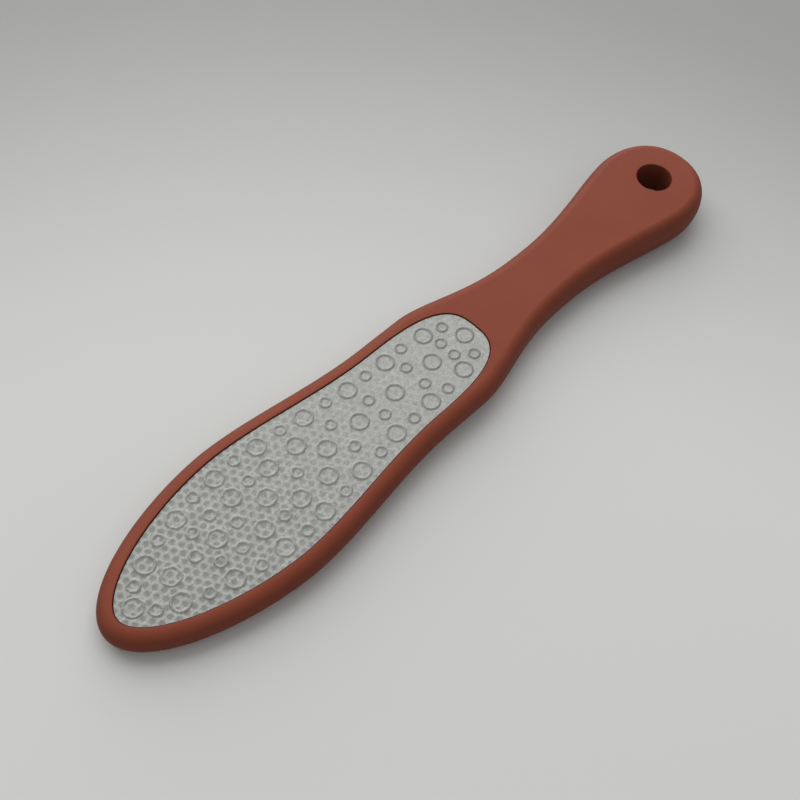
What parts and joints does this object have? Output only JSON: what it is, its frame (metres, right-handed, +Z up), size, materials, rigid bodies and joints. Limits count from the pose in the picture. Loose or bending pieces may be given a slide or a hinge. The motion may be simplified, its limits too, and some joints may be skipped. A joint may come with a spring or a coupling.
{
  "type": "foot file",
  "caption": "Flat moulded foot file handle with a hang hole, a waisted grip and a long paddle that carries a bonded metal rasp plate with raised rings.",
  "frame": {"origin": "middle of the footprint on the table that the file lies on, rasp up", "axes": "+X along the handle from the hang hole to the paddle's tip, +Z up, +Y across"},
  "size_m": [0.26, 0.0508, 0.0141],
  "materials": {
    "front_shell": "fine matte moulded brown",
    "back_shell": "fine matte moulded brown",
    "adhesive": "soft pale adhesive foam",
    "plate": "satin etched steel"
  },
  "bodies": {
    "root": {"front_shell": "front_shell", "back_shell": "back_shell", "adhesive_pad": "adhesive", "file_plate": "plate"}
  },
  "joints": []
}
